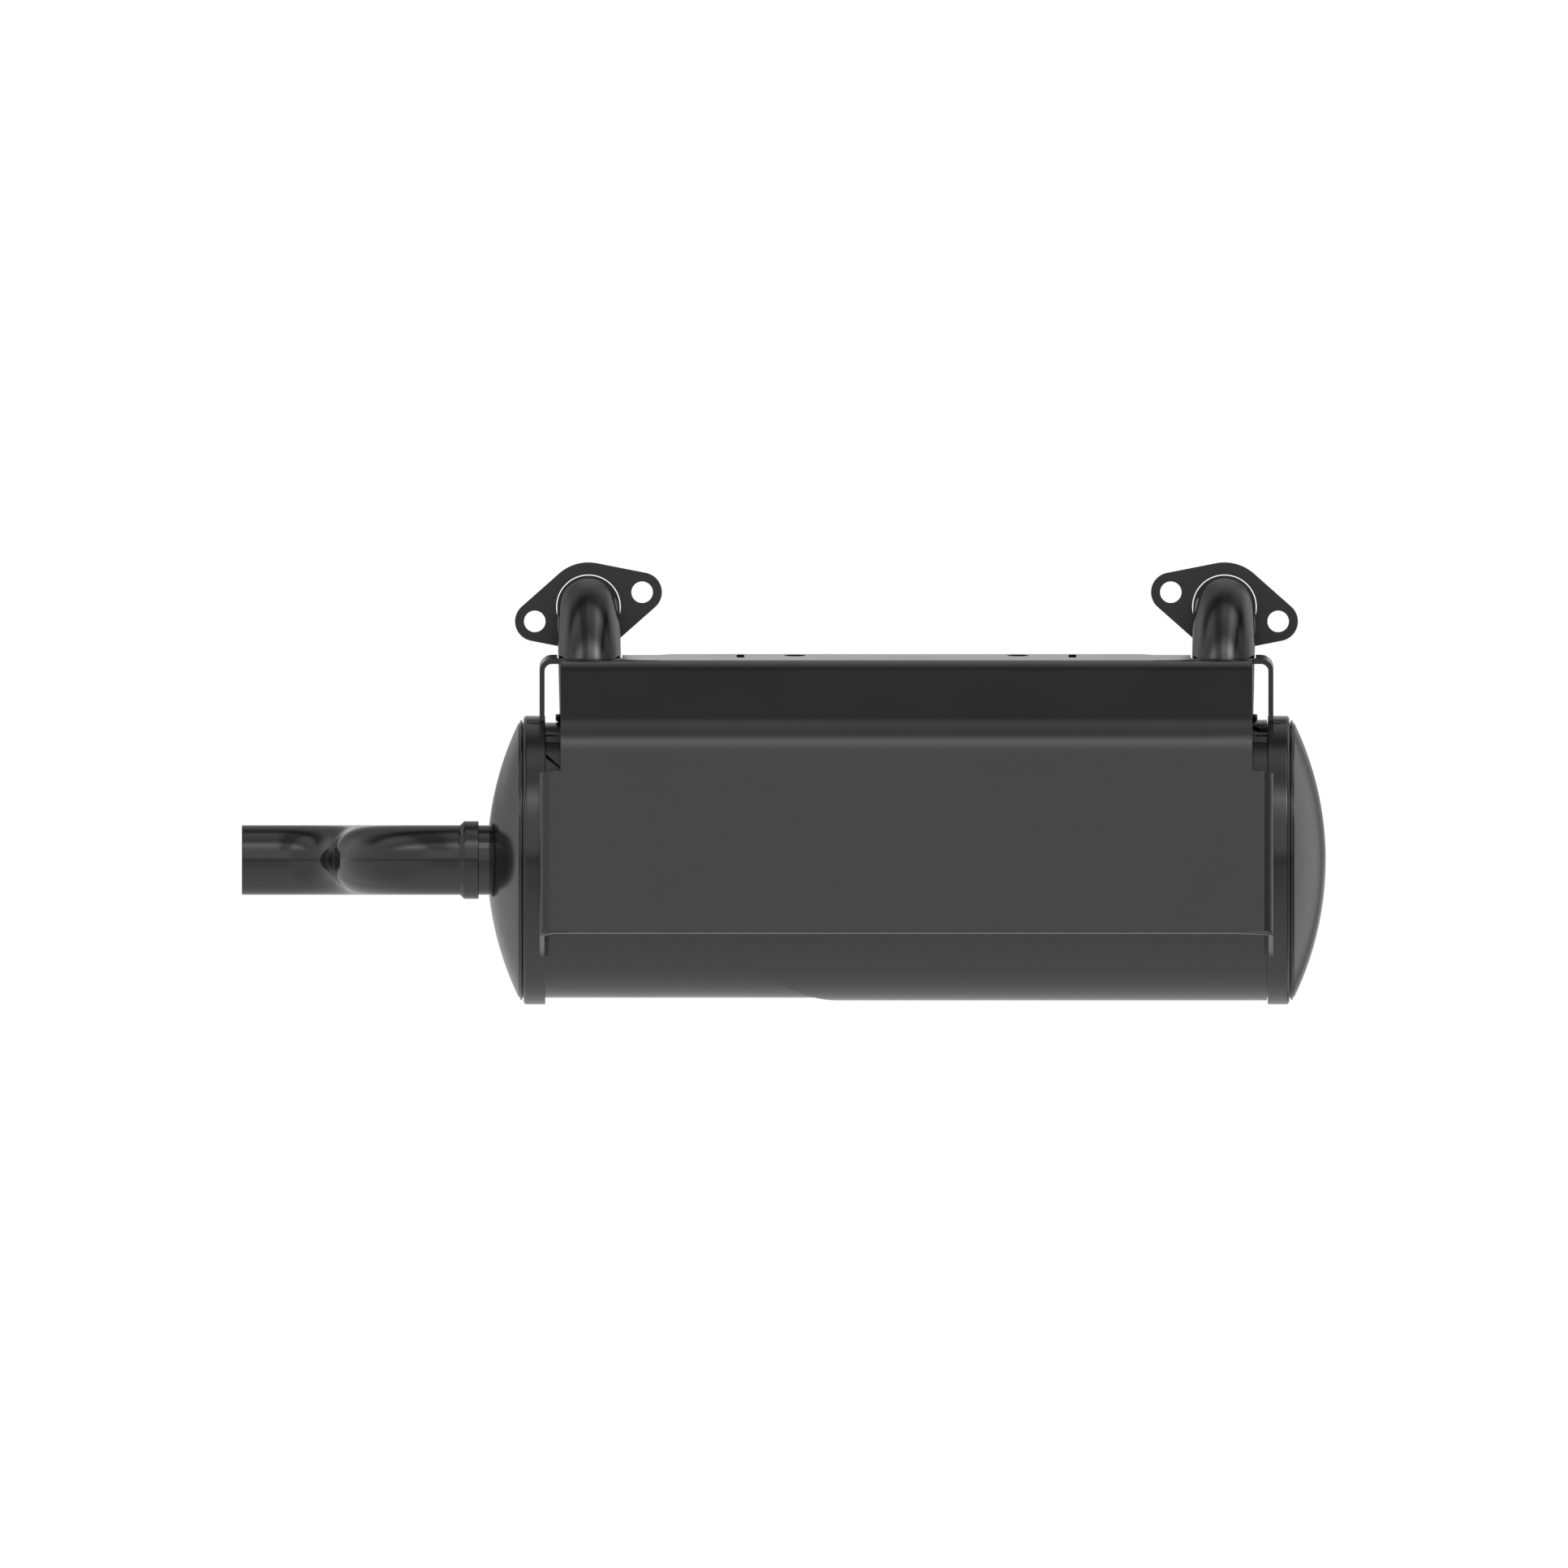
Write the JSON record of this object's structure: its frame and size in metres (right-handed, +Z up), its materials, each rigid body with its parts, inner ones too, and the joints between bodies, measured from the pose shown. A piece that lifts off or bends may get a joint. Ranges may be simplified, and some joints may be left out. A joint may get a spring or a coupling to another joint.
{
  "type": "exhaust muffler",
  "caption": "Twin-inlet small-engine exhaust muffler: round shell with domed ends, bracket shield, loose inlet flanges and an offset bent tailpipe.",
  "frame": {"origin": "middle of the bracket shield's top mounting face, where the muffler hangs from the engine", "axes": "+X along the shell towards its closed end, +Y towards the engine, +Z up; the shell's axis is parallel to X and 93.4 mm below the origin"},
  "size_m": [0.4948, 0.1945, 0.2018],
  "materials": {
    "black_paint": "semi-gloss black heat-resistant paint",
    "black_paint_flange": "semi-gloss black paint on thick plate",
    "bare_steel": "unpainted sheet steel, heat dulled",
    "screen_steel": "pierced stainless sheet"
  },
  "bodies": {
    "muffler": {"shell": "black_paint", "outer_wrap": "black_paint", "end_cap_left": "black_paint", "end_cap_right": "black_paint", "baffle_left": "bare_steel", "baffle_centre": "bare_steel", "baffle_right": "bare_steel", "transfer_tube_front": "bare_steel", "transfer_tube_back": "bare_steel", "outlet_tube": "black_paint", "spark_screen": "screen_steel", "screen_ring": "screen_steel", "tailpipe": "black_paint", "bracket_shield": "black_paint", "inlet_pipe_left": "black_paint", "inlet_pipe_right": "black_paint", "inlet_collar_left": "black_paint", "inlet_collar_right": "black_paint"},
    "flange_left": {"inlet_flange_left": "black_paint_flange"},
    "flange_right": {"inlet_flange_right": "black_paint_flange"}
  },
  "joints": [
    {"name": "flange_left_turn", "type": "hinge", "parent": "muffler", "child": "flange_left", "pos_m": [-0.14517, 0.0506, 0.0222], "axis": [0, 1, 0], "continuous": true},
    {"name": "flange_right_turn", "type": "hinge", "parent": "muffler", "child": "flange_right", "pos_m": [0.14517, 0.0506, 0.0222], "axis": [0, 1, 0], "continuous": true}
  ]
}
